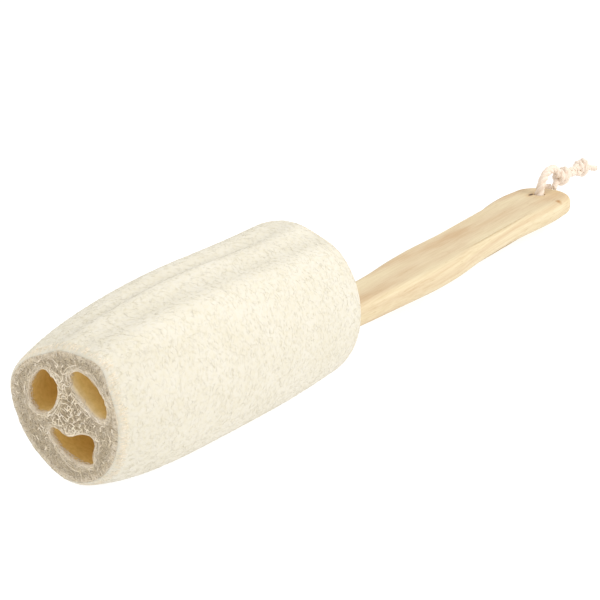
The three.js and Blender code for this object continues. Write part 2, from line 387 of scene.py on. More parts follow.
def bumped(tree, shader, height, strength, distance):
    made = node(tree, "ShaderNodeBump", Strength=strength, Distance=distance)
    tree.links.new(height, made.inputs["Height"])
    tree.links.new(made.outputs["Normal"], shader.inputs["Normal"])


def object_noise(tree, scale, detail, stretch=(1, 1, 1)):
    """Noise over the row frame, scale in blobs per metre."""
    place = node(tree, "ShaderNodeTexCoord")
    mapping = node(tree, "ShaderNodeMapping", Scale=stretch)
    noise = node(tree, "ShaderNodeTexNoise", Scale=scale, Detail=detail)
    tree.links.new(place.outputs["Object"], mapping.inputs["Vector"])
    tree.links.new(mapping.outputs["Vector"], noise.inputs["Vector"])
    return noise.outputs["Fac"]


def loofah_material(name, roughness, speckle, painted_glow, strength):
    """Plant fibre: each strand's own tint, with soft blotches and fine specks over it.
    It glows faintly: a painted glow that lifts the shade on the fibres and in the cavities, standing in for
    the daylight that thin fibres and walls let through."""
    mat, tree, shader = material(name, {
        "Roughness": roughness, "Specular IOR Level": 0.25, "Sheen Weight": 0.15,
        "Emission Color": painted_glow, "Emission Strength": strength,
    })
    tint = node(tree, "ShaderNodeAttribute", attribute_name="tint").outputs["Color"]
    speck = (speckle, speckle * 0.98, speckle * 0.90)
    colour = mottled(tree, tint, object_noise(tree, 60, 3), 0.3, (0.95, 0.94, 0.90), 0.7)
    colour = mottled(tree, colour, object_noise(tree, 700, 2), 0.3, speck, 0.62)
    tree.links.new(colour, shader.inputs["Base Color"])
    bumped(tree, shader, object_noise(tree, 2500, 3), 0.3, 0.0001)
    return mat


CREAM = np.array([0.555, 0.525, 0.455])  # the skin
PALE = np.array([0.82, 0.73, 0.60])  # thick fibres, and the fibres at every edge
MAT = np.array([0.76, 0.66, 0.51])  # the cut faces' mat
BEIGE = np.array([0.64, 0.51, 0.34])  # and the mat at the core
TAN = np.array([0.44, 0.31, 0.15])  # painted shade at the bottoms of the cut faces' pits
AMBER = np.array([0.865, 0.67, 0.285])  # the walls of the seed cavities

# each material's glow colour and strength are painted light, lifting shade on the fibres, the skin and the
# cavity walls
FIBRE = loofah_material("loofah_fibre", 0.85, 0.96, (0.9, 0.80, 0.66, 1), 0.05)
SKIN_FIBRE = loofah_material("loofah_skin", 0.9, 0.97, (0.95, 0.89, 0.735, 1), 0.24)
CAVITY = loofah_material("loofah_cavity_wall", 0.6, 0.88, (1.0, 0.60, 0.12, 1), 0.05)


# ---- the loofah's shape ----
def bell(offset, width):
    return np.exp(-((offset / width) ** 2) / 2)


def apart(a, b):
    return (a - b + 180) % 360 - 180


def growth(x):
    return 1 + SWELL / FRONT_RADIUS * (1 - np.exp(-np.maximum(x, 0) / SWELL_LENGTH))


def clear_of(distance):
    return 1 - np.exp(-((distance / GROOVE_FADE_LENGTH) ** 2))


def outline_radius(angle, x):
    fade = 0.2 + 0.8 * np.exp(-((x / LOBE_FADE_LENGTH) ** 2))
    lobes = LOBE_HEIGHT * np.cos(np.radians(3 * (angle - LOBE_ANGLE)))
    for height, centre, width in SWELLINGS:
        lobes = lobes + height * bell(apart(angle, centre), width)
    from_end = LOOFAH_LENGTH - x
    drop = FRONT_DROOP * fade + BOW["depth"] * bell(x - BOW["at"], BOW["length"])
    radius = (FRONT_RADIUS + fade * lobes) * growth(x) - drop * np.sin(np.radians(angle))
    hollow = RIM_HOLLOW["depth"] * bell(apart(angle, RIM_HOLLOW["angle"]), RIM_HOLLOW["width"])
    radius = radius - hollow * bell(from_end - RIM_HOLLOW["from_end"], RIM_HOLLOW["length"])
    for centre, turn, depth, width in GROOVES:
        groove = depth * bell(apart(angle, centre + turn * x / LOOFAH_LENGTH), width)
        radius = radius - clear_of(x) * clear_of(from_end) * groove
    into_front = np.maximum(0, 1 - x / FRONT_ROUNDING)
    into_rim = np.maximum(0, 1 - from_end / BACK_RIM_LENGTH)
    return radius - FRONT_ROUNDING / 2 * into_front ** 2 - BACK_RIM_DROP * into_rim ** 2


def oval(centre, half_long, half_short, tilt, *pushes):
    """A seed cavity's section: an oval, and pushes (height, angle, width) in or out of it."""
    return centre, half_long, half_short, tilt, pushes


CAVITIES = {            # the section at the front end, and well inside
    "far": (oval((9.5, 4.2), 9.1, 6.3, 121, (-1.4, 4, 15)), oval((10, 5), 9.5, 6.6, 127)),
    "near": (oval((-12.3, 7.5), 9.1, 4.8, 52, (2.6, -41, 22)), oval((-11.8, 8.9), 9.8, 5.6, 45)),
    "low": (
        oval((-1.7, -12.7), 10.5, 5.3, 23, (-3.3, 66, 32), (5.3, 118, 16)),
        oval((-4.9, -11.7), 11.2, 6.2, 0),
    ),
}


def oval_point(section, angle, inset):
    centre, half_long, half_short, tilt, pushes = section
    t = np.radians(angle)
    push = sum((height * bell(apart(angle, at), width) for height, at, width in pushes), -inset)
    u = (half_long + push) * np.cos(t)
    v = (half_short + push) * np.sin(t)
    turn = math.radians(tilt)
    return np.stack([
        centre[0] + u * math.cos(turn) - v * math.sin(turn),
        centre[1] + u * math.sin(turn) + v * math.cos(turn)], -1)


def cavity_point(cavity, angle, x, inset=0.0):
    """The cavity's wall at an angle round it, as (y, z)."""
    grown = growth(x)
    along = (grown - 1) * FRONT_RADIUS / SWELL
    front, inner = (oval_point(section, angle, inset / grown) for section in cavity)
    return (front + (inner - front) * along[..., None]) * grown[..., None]


def inside_cavity(y, z, x, inset):
    """True where (y, z) is inside any seed cavity at station x."""
    found = np.zeros(np.shape(y), bool)
    around = np.arange(0, 360, 3.0)
    for cavity in CAVITIES.values():
        wall = cavity_point(cavity, around, x)
        middle = wall.mean(0)
        towards = np.arctan2(*(wall - middle).T[::-1])
        reach = np.hypot(*(wall - middle).T)
        order = np.argsort(towards)
        way = np.arctan2(z - middle[1], y - middle[0])
        limit = np.interp(way, towards[order], reach[order], period=2 * np.pi)
        found |= np.hypot(y - middle[0], z - middle[1]) < limit - inset
    return found


def on_face(flat, x, inset, clear):
    """True where (y, z) is inside the outline by inset, and out of every seed cavity by clear."""
    y, z = flat[..., 0], flat[..., 1]
    inside = np.hypot(y, z) < outline_radius(np.degrees(np.arctan2(z, y)), x) - inset
    return inside & ~inside_cavity(y, z, x, -clear)


def surface_point(angle, x, depth):
    """A point on the loofah's skin, depth under it."""
    radius = outline_radius(angle, x) - depth
    t = np.radians(angle)
    return np.stack([x + 0 * radius, radius * np.cos(t), radius * np.sin(t)], -1)


# ---- the cord ----
def cotton_material():
    mat, tree, shader = material("cotton_cord", {
        "Roughness": 0.95, "Specular IOR Level": 0.15, "Sheen Weight": 0.3,
    })
    tint = node(tree, "ShaderNodeAttribute", attribute_name="tint").outputs["Color"]
    colour = mottled(tree, tint, object_noise(tree, 420, 3), 0.3, (0.93, 0.91, 0.88), 0.7)
    tree.links.new(colour, shader.inputs["Base Color"])
    bumped(tree, shader, object_noise(tree, 3200, 4), 0.6, 0.00015)
    return mat


COTTON = cotton_material()
COTTON_TINT = np.array([0.82, 0.70, 0.59])


def plies(path, radius, pitch, start, bulk):
    """The centre lines and radii of three plies laid round a cord's path. radius is one number per point."""
    across, other = carried_frames(path[None])
    along = distances_along(path)
    lay = bulk * radius / (1 + 2 / math.sqrt(3))   # at bulk 1 the three just touch
    paths = []
    for k in range(3):
        turn = (start + 2 * np.pi * (along / pitch + k / 3))[:, None]
        offset = (radius - lay)[:, None]
        paths.append(path + offset * (np.cos(turn) * across[0] + np.sin(turn) * other[0]))
    return np.stack(paths), np.stack([lay * 1.02] * 3)


def cord_piece(name, paths, radii, pitch, sides=12, bulk=1.1):
    """A piece made of one or more three-ply cords.
    The bulkier the plies, the shallower the lines between them."""
    laid = [plies(path, radius, pitch, 1.3 * k, bulk) for k, (path, radius) in enumerate(zip(paths, radii))]
    centre_lines = np.concatenate([found[0] for found in laid])
    widths = np.concatenate([found[1] for found in laid])
    tint = strand_tint(np.random.default_rng(5), len(centre_lines), COTTON_TINT, 0.012)
    return fibres(name, centre_lines, widths, sides, COTTON, tint)


def loop():
    """The loop's centre line, and the loop, which narrows into the first knot at both its ends."""
    count = CORD_STEPS["loop"]
    path = evenly(smooth_path(LOOP_ROUTE, 24), count)
    from_end = np.minimum(np.arange(count), np.arange(count)[::-1]) * path_length(path) / count
    radius = NARROWED + (CORD_RADIUS - NARROWED) * np.clip(from_end / 6, 0, 1) ** 0.7
    in_hole = np.exp(-(((path[:, 2] - HANDLE_Z) / 6.2) ** 6))
    radius = radius + HOLE_FILL * (in_hole * (path[:, 0] < CORD_HOLE_X + CORD_HOLE_RADIUS))
    return path, cord_piece("hang_cord", [path], [radius], PITCH["loop"], 14, 1.2)


def knot_strand(shift, phase, entry, radii, lean):
    """One strand of an overhand knot about the X axis: into the core, once back round the outside, and out
    again. It is drawn as (along, out from the axis, turn) in a knot of half length 6.0 and half width 5.3."""
    into = [(-8.4, entry, 0), (-5.6, 2.4, 5), (-2.5, 1.3, 15), (1.0, 1.0, 40)]
    round_it = [(2.6, 2.2, 80), (2.4, 3.5, 130), (1.6, 3.7, 190), (0.6, 3.75, 250), (-0.4, 3.75, 310),
                (-1.4, 3.7, 370), (-2.2, 3.2, 430), (-1.8, 1.9, 480)]
    out_again = [(0.5, 1.1, 520), (4.0, 1.4, 540), (7.0, 2.0, 550)]
    x, out, turn = np.array(into + [(at + shift, *rest) for at, *rest in round_it] + out_again).T
    turn = np.radians(turn + phase)
    across, upright = radii[1] / 5.3, radii[2] / 5.3
    points = np.stack([x * radii[0] / 6.0, out * np.cos(turn) * across, out * np.sin(turn) * upright], -1)
    points[:, 0] += lean * points[:, 2]
    return evenly(smooth_path(points, 10), CORD_STEPS["knot"])


def knot(name, centre, radii, phase, lean, entry, entry_radius):
    """A knot in the doubled cord: two strands, opposite each other round it and side by side along it."""
    pair = ((-1.55, 0), (1.55, 180))
    paths = [knot_strand(shift, phase + half, entry, radii, lean) + centre for shift, half in pair]
    into = np.clip(1 - np.arange(CORD_STEPS["knot"]) / 22, 0, 1)
    radius = KNOT_STRAND + (entry_radius - KNOT_STRAND) * into
    return cord_piece(name, paths, [radius, radius], PITCH["knot"], 14, 1.25)


def neck():
    """The two strands between the knots, half a turn round each other. Both ends run on into a knot."""
    count = CORD_STEPS["neck"]
    path = evenly(smooth_path([(419.4, -6.7, -7.1), *NECK_ROUTE, (437.6, -8.3, -6.8)], 16), count)
    across, other = carried_frames(path[None])
    turn = np.radians(np.linspace(0, 180, count))[:, None]
    offset = NECK_APART * (np.cos(turn) * across[0] + np.sin(turn) * other[0])
    radius = np.full(count, NECK_STRAND)
    return cord_piece("hang_cord_neck_pair", [path + offset, path - offset], [radius, radius], PITCH["neck"])


def tail(which, inner):
    """One cut end of the cord, from inner in the last knot, a little thinner towards its end."""
    count = CORD_STEPS["tail"]
    path = evenly(smooth_path([inner, *TAIL_ROUTES[which]], 16), count)
    thinning = np.clip((np.arange(count) - 46) / 14, 0, 1)
    radius = TAIL_RADIUS * (1 - 0.25 * thinning ** 2)
    return cord_piece(f"hang_cord_end_{which}", [path], [radius], PITCH["tail"]), path


TUFT_SEEDS = {"near": 4, "far": 3}


def tail_tuft(which, path):
    """Loose cotton yarns where a cord end was cut."""
    rng = np.random.default_rng(TUFT_SEEDS[which])
    count, steps = 60, 8
    way = unit(path[-1] - path[-8])
    across, other = carried_frames(path[None])
    turn = rng.uniform(0, 2 * np.pi, (count, 1))
    out = 1.45 * np.sqrt(rng.random((count, 1)))
    root = path[-6] + out * (np.cos(turn) * across[0, -1] + np.sin(turn) * other[0, -1])
    spread = way + 0.28 * (root - path[-6]) / 1.4 + rng.normal(0, 0.12, (count, 3))
    t = np.linspace(0, 1, steps)[None, :, None]
    length = rng.uniform(0.9, 1.8, (count, 1, 1))
    paths = root[:, None] + spread[:, None] * t * length + rng.normal(0, 0.05, (count, steps, 3)) * t
    radii = np.full((count, steps), 0.16) * np.linspace(1, 0.6, steps)
    tint = strand_tint(rng, count, COTTON_TINT, 0.02)
    return fibres(f"hang_cord_tuft_{which}", paths, radii, 5, COTTON, tint)


def cord_fuzz(paths, count):
    """Short cotton hairs that stand off the cord."""
    rng = np.random.default_rng(8)
    steps = 6
    points = np.concatenate([path for path, _ in paths])
    radius = np.concatenate([np.full(len(path), width) for path, width in paths])
    chosen = rng.integers(2, len(points) - 2, count)
    way = unit(rng.normal(0, 1, (count, 3)))
    root = points[chosen] + way * (radius[chosen] * 0.85)[:, None]
    t = np.linspace(0, 1, steps)[None, :, None]
    heading = way[:, None] * 0.5 + rng.normal(0, 0.7, (count, 1, 3)) + rng.normal(0, 0.5, (count, 1, 3)) * t
    hairs = root[:, None] + heading * t * rng.uniform(0.5, 1.2, (count, 1, 1))
    radii = np.full((count, steps), 0.03)
    tint = strand_tint(rng, count, COTTON_TINT * 1.04, 0.02)
    return fibres("hang_cord_fuzz", hairs, radii, 3, COTTON, tint)


def hang_cord():
    path, loop_piece = loop()
    knots = [
        knot("hang_cord_first_knot", *KNOT, 90, 0.15, 4.6, NARROWED),
        knot("hang_cord_last_knot", *END_KNOT, 60, -0.15, 1.3, NECK_STRAND),
    ]
    near, near_path = tail("near", (445.0, -9.2, -7.0))
    far, far_path = tail("far", (445.0, -7.0, -7.4))
    pair = neck()
    tufts = [tail_tuft("near", near_path), tail_tuft("far", far_path)]
    fuzz = cord_fuzz([(path, CORD_RADIUS), (near_path, TAIL_RADIUS), (far_path, TAIL_RADIUS)], 700)
    replaced = {
        loop_piece: "hang_cord_loop", knots[0]: "hang_cord_knot", knots[1]: "hang_cord_end_knot",
        pair: "hang_cord_neck", near: "hang_cord_tail_near", far: "hang_cord_tail_far",
    }
    for piece, cad in replaced.items():
        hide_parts(cad)
    for piece in [*replaced, *tufts, fuzz]:
        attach(piece, "hang_cord")


# ---- the loofah's body under the fibres ----
SKIN = 0.08             # the body's outer face is this far under the fibres' level
LIP = 0.35              # its cut ends start this far inside the fibres' level
FACE_HOLLOW = 0.4       # and sink this much more between the edges
ROUND_STEPS = 300
CAVITY_STEPS = 72
FACE_GRID = 0.5
ROUND_TURN = np.arange(ROUND_STEPS) * 360 / ROUND_STEPS
CAVITY_TURN = np.arange(CAVITY_STEPS) * 360 / CAVITY_STEPS


def press_dimples(points):
    """Push the skin in round the sunk nail heads."""
    points = np.array(points)
    for x in NAILS.values():
        away = np.hypot(points[..., 0] - x, points[..., 1] - HANDLE_Y)
        below = points[..., 2] < HANDLE_Z - HANDLE_THICKNESS
        points[..., 2] += np.where(below, NAIL_SUNK * np.exp(-((away / 2.6) ** 4)), 0)
    return points


def pits(points, size, seed):
    """0 on the walls between pits, up to about 1 in the middle of one."""
    nearest = [mnoise.voronoi(Vector((p[0] / size, p[1] / size, seed)))[0] for p in points]
    return np.clip([(second - first) * 2.0 for first, second, *_ in nearest], 0, 1)


def from_core(flat):
    """How much a place on a cut face belongs to the ribs that meet at the core: 1 at the core, 0 far out."""
    return np.exp(-((np.hypot(flat[..., 0] + 1.3, flat[..., 1] - 0.7) / 12.0) ** 2))


def face_loops(x):
    """The edges of the body's end face at x, as (y, z) loops: the outside, then the three cavities."""
    mouths = [cavity_point(cavity, CAVITY_TURN, x) for cavity in CAVITIES.values()]
    return [surface_point(ROUND_TURN, x, SKIN)[:, 1:], *mouths]


def end_face(x, front):
    """The body's end face at x, with three holes, as points and triangles. It is pitted like a sponge."""
    loops = face_loops(x)
    side = np.arange(-37, 37, FACE_GRID)
    grid = np.stack(np.meshgrid(side, side, indexing="ij"), -1).reshape(-1, 2)
    grid = grid + np.random.default_rng(3).uniform(-0.2, 0.2, grid.shape)
    clear = FACE_GRID * 0.7
    grid = grid[on_face(grid, x, SKIN + clear, clear)]
    flat, triangles = triangulated(np.concatenate(loops + [grid]), loop_edges(loops))
    triangles = triangles[on_face(flat[triangles].mean(1), x, SKIN, -0.05)]
    if front:
        triangles = triangles[:, ::-1]
    rim = np.concatenate(loops)
    nearest = np.array([np.hypot(*(rim - p).T).min() for p in flat])
    core = from_core(flat)
    fine = pits(flat, 1.1, 2.0) * 0.4 * (1 - core)
    coarse = pits(flat, 1.8, 7.0) * core * 2.4
    sunk = (FACE_HOLLOW + fine + coarse) * (1 - np.exp(-((nearest / 0.9) ** 2)))
    inwards = 1 if front else -1
    # painted shade: the deeper a pit, the more its colour goes towards TAN
    shade = np.clip((fine + coarse) / 1.4, 0, 1)[:, None]
    tint = MAT * (1 - shade) + TAN * shade
    return np.column_stack([x + inwards * sunk, flat]), triangles, tint


def wall_grid(points, outwards):
    """Quads between rows of points that each go all the way round."""
    rows, around, _ = points.shape
    index = np.arange(rows * around).reshape(rows, around)
    a, b = index[:-1], index[1:]
    quads = np.stack([a, np.roll(a, -1, 1), np.roll(b, -1, 1), b], -1).reshape(-1, 4)
    return quads[:, ::-1] if outwards else quads


def skin_tint(angle, x):
    """Cream, with painted shade: a little darker in the grooves and underneath."""
    furrow = 0
    for centre, turn, _, width in GROOVES:
        furrow = furrow + bell(apart(angle, centre + turn * x / LOOFAH_LENGTH), width * 1.2)
    painted_shade = 0.12 * np.clip(furrow, 0, 1) + 0.03 * (1 - np.sin(np.radians(angle)))
    return CREAM * (1 - painted_shade)[..., None]


def skin_wall(stations):
    turn = ROUND_TURN[None]
    points = surface_point(turn, stations[:, None], SKIN)
    relief = np.zeros(points.shape[:2])
    for i in range(1, len(stations) - 1):
        for j in range(ROUND_STEPS):
            p = Vector(points[i, j])
            relief[i, j] = 0.05 * mnoise.noise(p * 0.8) + 0.02 * mnoise.noise(p * 2.2)
    outwards = unit(points * np.array([0, 1, 1]))
    points = press_dimples(points + outwards * relief[..., None])
    # the skin's cream carries painted shade in the grooves and underneath
    return points, wall_grid(points, True), skin_tint(turn, stations[:, None])


def cavity_wall(cavity, stations):
    """A cavity's rippled wall, pale at its mouths and amber inside."""
    xs = stations[:, None] + 0 * CAVITY_TURN[None]
    ripple = np.zeros(xs.shape)
    for i in range(1, len(stations) - 1):
        for j in range(CAVITY_STEPS):
            t = math.radians(CAVITY_TURN[j])
            p = Vector((xs[i, j] * 0.12, 2.2 * math.cos(t), 2.2 * math.sin(t)))
            ripple[i, j] = 0.35 * mnoise.noise(p)
    points = np.concatenate([xs[..., None], cavity_point(cavity, CAVITY_TURN[None], xs, ripple)], -1)
    deep = np.clip((np.minimum(xs, LOOFAH_LENGTH - xs) - 0.4) / 2.4, 0, 1)[..., None] ** 0.8
    return points, wall_grid(points, False), PALE * (1 - deep) + AMBER * deep


def loofah_body():
    first, last = LIP, LOOFAH_LENGTH - LIP
    even = np.linspace(first + 2.5, last - 2.5, 140)
    stations = np.concatenate([[first, first + 0.6, first + 1.4], even, last - np.array([1.4, 0.6, 0])])
    parts = [skin_wall(stations)]
    parts += [cavity_wall(cavity, stations[::2]) for cavity in CAVITIES.values()]
    parts += [end_face(first, True), end_face(last, False)]
    points, faces, part_of, kept = weld([(points, part_faces) for points, part_faces, _ in parts])
    tints = np.concatenate([tint.reshape(-1, 3) for _, _, tint in parts])
    body = mesh_object("loofah_body", points, faces, FIBRE, True, tints[kept])
    body.data.materials.append(CAVITY)
    body.data.materials.append(SKIN_FIBRE)
    # part 0 is the skin, then come the cavities, then the two end faces
    walls = (part_of > 0) & (part_of <= len(CAVITIES))
    body.data.polygons.foreach_set("material_index", np.where(part_of == 0, 2, walls).astype(np.int32))
    face_outwards(body)
    return body


# ---- fibres ----
def drift(rng, count, steps, amount):
    """Smooth random walks, one row for each fibre."""
    walk = np.cumsum(rng.normal(0, amount, (count, steps)), 1)
    return (walk + np.roll(walk, 1, 1) + np.roll(walk, -1, 1)) / 3


def skin_paths(rng, count, steps, pace, deepest, proud):
    """Fibres that wander round the loofah's skin, over and under one another."""
    x = np.empty((count, steps))
    angle = np.empty((count, steps))
    x[:, 0] = rng.uniform(0.1, LOOFAH_LENGTH - 0.1, count)
    angle[:, 0] = rng.uniform(0, 360, count)
    heading = rng.uniform(0, 2 * np.pi, count)[:, None] + drift(rng, count, steps, 0.25)
    for k in range(1, steps):
        radius = outline_radius(angle[:, k - 1], x[:, k - 1])
        angle[:, k] = angle[:, k - 1] + np.degrees(pace * np.cos(heading[:, k]) / radius)
        x[:, k] = np.clip(x[:, k - 1] + pace * np.sin(heading[:, k]), 0.1, LOOFAH_LENGTH - 0.1)
    pitch = rng.uniform(0.5, 1.1, (count, 1))
    wave = np.sin(np.arange(steps)[None] * pitch + rng.uniform(0, 6.3, (count, 1)))
    depth = (deepest - proud) / 2 + (deepest + proud) / 2 * wave
    depth[:, [0, -1]] = deepest + 0.15
    return press_dimples(surface_point(angle, x, depth))


def strand_tint(rng, count, base, spread):
    """The base colour, a little lighter or darker and yellower or bluer on each strand."""
    shade = rng.normal(0, spread, (count, 1))
    warm = rng.normal(0, spread * 0.5, (count, 1))
    return np.clip(base * (1 + shade + warm * np.array([0, -0.4, -1.0])), 0, 0.97)


def thicknesses(rng, paths, low, high):
    """A radius for each fibre, the same all along it."""
    return rng.uniform(low, high, (len(paths), 1)) * np.ones((1, paths.shape[1]))


def skin_fibres():
    """The skin's fine nap, in four pieces."""
    count, steps = 5200, 7
    made = []
    for k in range(4):
        rng = np.random.default_rng(100 + k)
        paths = skin_paths(rng, count, steps, 0.4, 0.11, 0.02)
        radii = thicknesses(rng, paths, 0.03, 0.05)
        radii[:, [0, -1]] *= 0.5
        middle = paths[:, steps // 2]
        angle = np.degrees(np.arctan2(middle[:, 2], middle[:, 1]))
        # each fibre takes the skin's cream with its painted shade in the grooves and underneath
        tint = strand_tint(rng, count, skin_tint(angle, middle[:, 0]), 0.03)
        made.append(fibres(f"loofah_skin_fibres_{k + 1}", paths, radii, 3, SKIN_FIBRE, tint))
    return made


MOUTH_CLEARANCE = 0.15


def under_face(face_x, inwards, depth, flat):
    """Points at (y, z), depth under a cut face."""
    return np.concatenate([(face_x + inwards * depth)[..., None], flat], -1)


def face_mat(rng, face_x, inwards, count, steps, pace, near, far):
    """Fine fibres matted together just under a cut face."""
    start = rng.uniform(-36, 36, (count * 4, 2))
    start = start[on_face(start, face_x, 0.3, MOUTH_CLEARANCE)][:count]
    heading = rng.uniform(0, 2 * np.pi, len(start))[:, None] + drift(rng, len(start), steps, 0.35)
    flat = start[:, None] + np.cumsum(pace * np.stack([np.cos(heading), np.sin(heading)], -1), 1)
    flat = flat[on_face(flat, face_x, 0.15, MOUTH_CLEARANCE).all(1)]
    depth = rng.uniform(near, far, (len(flat), 1)) + drift(rng, len(flat), steps, 0.10)
    return under_face(face_x, inwards, np.clip(depth, 0.1, None), flat)


def face_net(rng, face_x, inwards, spacing, near, far):
    """The thick fibres that join the core to the walls: edges of an irregular net, bowed, at many depths."""
    side = np.arange(-24, 24, spacing)
    grid = np.stack(np.meshgrid(side, side * 0.9, indexing="ij"), -1)
    grid[::2, :, 1] += spacing * 0.45
    grid = grid.reshape(-1, 2) + rng.normal(0, spacing * 0.24, (len(side) ** 2, 2))
    grid = grid[on_face(grid, face_x, 1.0, MOUTH_CLEARANCE)]
    flat, triangles = triangulated(grid, [])
    pairs = np.concatenate([triangles[:, [0, 1]], triangles[:, [1, 2]], triangles[:, [2, 0]]])
    edges = np.unique(np.sort(pairs, 1), axis=0)
    middle = flat[edges].mean(1)
    wanted = np.linalg.norm(flat[edges[:, 0]] - flat[edges[:, 1]], axis=1) < spacing * 2.2
    wanted &= on_face(middle, face_x, 0.5, MOUTH_CLEARANCE)
    wanted &= rng.random(len(edges)) < 0.03 + 0.85 * from_core(middle)
    edges = edges[wanted]
    depth = rng.uniform(near, far, len(flat))
    ends = under_face(face_x, inwards, depth, flat)
    t = np.linspace(0, 1, 5)[None, :, None]
    start, stop = ends[edges[:, 0]][:, None], ends[edges[:, 1]][:, None]
    bow = rng.normal(0, spacing * 0.22, (len(edges), 1, 3))
    paths = start + (stop - start) * t + bow * (4 * t * (1 - t))
    depth = np.maximum((paths[..., 0] - face_x) * inwards, 0.1)
    paths[..., 0] = face_x + inwards * depth
    return paths


def rim_paths(rng, face_x, inwards, loop_at, count, reach, low, high):
    """Fibres that run round an edge of the cut face. loop_at(angle, offset) gives (y, z)."""
    steps = 9
    start = rng.uniform(0, 360, (count, 1))
    angle = start + np.linspace(0, 1, steps)[None] * reach * rng.uniform(0.4, 1.4, (count, 1))
    offset = rng.uniform(low, high, (count, 1)) + drift(rng, count, steps, 0.14)
    depth = np.abs(rng.uniform(0.1, 1.2, (count, 1)) + drift(rng, count, steps, 0.12))
    return under_face(face_x, inwards, depth, loop_at(angle, np.maximum(offset, 0)))


# how far in or out of an edge a folded fibre is, and how deep under the cut face
LIP_FOLD = (
    (1.9, 1.4, 0.9, 0.4, 0.05, -0.1, -0.1, -0.1, -0.1),
    (0.9, 0.55, 0.35, 0.3, 0.5, 0.9, 1.3, 1.8, 2.3),
)
EDGE_FOLD = (
    (0.05, 0.05, 0.08, 0.2, 0.5, 1.0, 1.6, 2.3),
    (3.4, 2.4, 1.5, 0.8, 0.35, 0.2, 0.25, 0.4),
)


def folded(rng, fold, count, wander, jitter, shortest):
    """Angles, offsets and depths of fibres that fold over an edge of a cut face."""
    offsets, depths = np.array(fold)
    steps = len(offsets)
    angle = rng.uniform(0, 360, (count, 1)) + drift(rng, count, steps, wander)
    offset = offsets[None] + rng.normal(0, jitter, (count, steps)).clip(0, 0.3)
    return angle, offset, depths[None] * rng.uniform(shortest, 1.2, (count, 1))


def cut_face(which, face_x, inwards, seed):
    """The fibres of one cut end."""
    rng = np.random.default_rng(seed)
    made = []
    for k in range(2):
        mat = face_mat(rng, face_x, inwards, 4600, 6, 0.45, 0.08 + 0.2 * k, 0.35 + 0.5 * k)
        radii = thicknesses(rng, mat, 0.06, 0.11)
        core = from_core(mat[:, 0, 1:])[:, None]
        tint = strand_tint(rng, len(mat), 1, 0.05) * (MAT * (1 - core) + BEIGE * 0.9 * core)
        made.append(fibres(f"loofah_{which}_mat_{k + 1}", mat, radii, 3, FIBRE, tint))
    for k, (spacing, near, far, thick) in enumerate([(1.5, 0.0, 0.6, 0.22), (1.3, 0.4, 1.6, 0.18)]):
        net = face_net(rng, face_x, inwards, spacing, near, far)
        radii = thicknesses(rng, net, thick * 0.6, thick * 1.2)
        tint = strand_tint(rng, len(net), PALE * 1.08 if k == 0 else MAT, 0.05)
        made.append(fibres(f"loofah_{which}_net_{k + 1}", net, radii, 5, FIBRE, tint))
    lips, rims, bands = [], [], []
    for cavity in CAVITIES.values():
        def loop_at(angle, offset, cavity=cavity):
            return cavity_point(cavity, angle, face_x, -offset)
        rims.append(rim_paths(rng, face_x, inwards, loop_at, 260, 40, 0.0, 1.8))
        bands.append(rim_paths(rng, face_x, inwards, loop_at, 120, 26, 0.2, 2.6))
        angle, offset, depth = folded(rng, LIP_FOLD, 220, 5.0, 0.1, 0.4)
        lips.append(under_face(face_x, inwards, depth, loop_at(angle, offset)))

    def outer(angle, offset):
        return surface_point(angle, face_x + inwards * 0.8, offset + 0.2)[..., 1:]
    rims.append(rim_paths(rng, face_x, inwards, outer, 200, 9, 0.0, 2.4))
    angle, offset, depth = folded(rng, EDGE_FOLD, 900, 1.2, 0.12, 0.5)
    edges = [surface_point(angle, face_x + inwards * depth, offset)]
    kinds = [("rims", rims, 1.0), ("bands", bands, 1.8), ("lips", lips, 1.3), ("edge", edges, 1.0)]
    for kind, groups, thick in kinds:
        paths = np.concatenate(groups)
        radii = thicknesses(rng, paths, 0.05, 0.11) * thick
        tint = strand_tint(rng, len(paths), PALE, 0.05)
        made.append(fibres(f"loofah_{which}_{kind}", paths, radii, 4, FIBRE, tint))
    return made


def loofah():
    pieces = [loofah_body()]
    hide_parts("loofah")
    pieces += skin_fibres()
    pieces += cut_face("front", 0.0, 1, 11)
    pieces += cut_face("back", LOOFAH_LENGTH, -1, 12)
    for piece in pieces:
        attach(piece, "scrubber")


# ---- the handle ----
def spotted(tree, colour, place, radii, soft, stain_and_shade):
    """The colour darkened in an oval, for marks in the wood and for painted shade, whose edge is blurred over
    a share of its radius.
    """
    where = node(tree, "ShaderNodeTexCoord")
    away = node(tree, "ShaderNodeVectorMath", operation="SUBTRACT")
    away.inputs[1].default_value = tuple(to_row(place))
    tree.links.new(where.outputs["Object"], away.inputs[0])
    scaled = node(tree, "ShaderNodeVectorMath", operation="MULTIPLY")
    scaled.inputs[1].default_value = (1000 / radii[0], 1000 / radii[1], 0)
    tree.links.new(away.outputs["Vector"], scaled.inputs[0])
    reach = node(tree, "ShaderNodeVectorMath", operation="LENGTH")
    tree.links.new(scaled.outputs["Vector"], reach.inputs[0])
    span = node(tree, "ShaderNodeMapRange", **{"From Min": 1 - soft, "From Max": 1 + soft})
    tree.links.new(reach.outputs["Value"], span.inputs["Value"])
    return mottled(tree, colour, span.outputs["Result"], 0.0, stain_and_shade, 1.0)


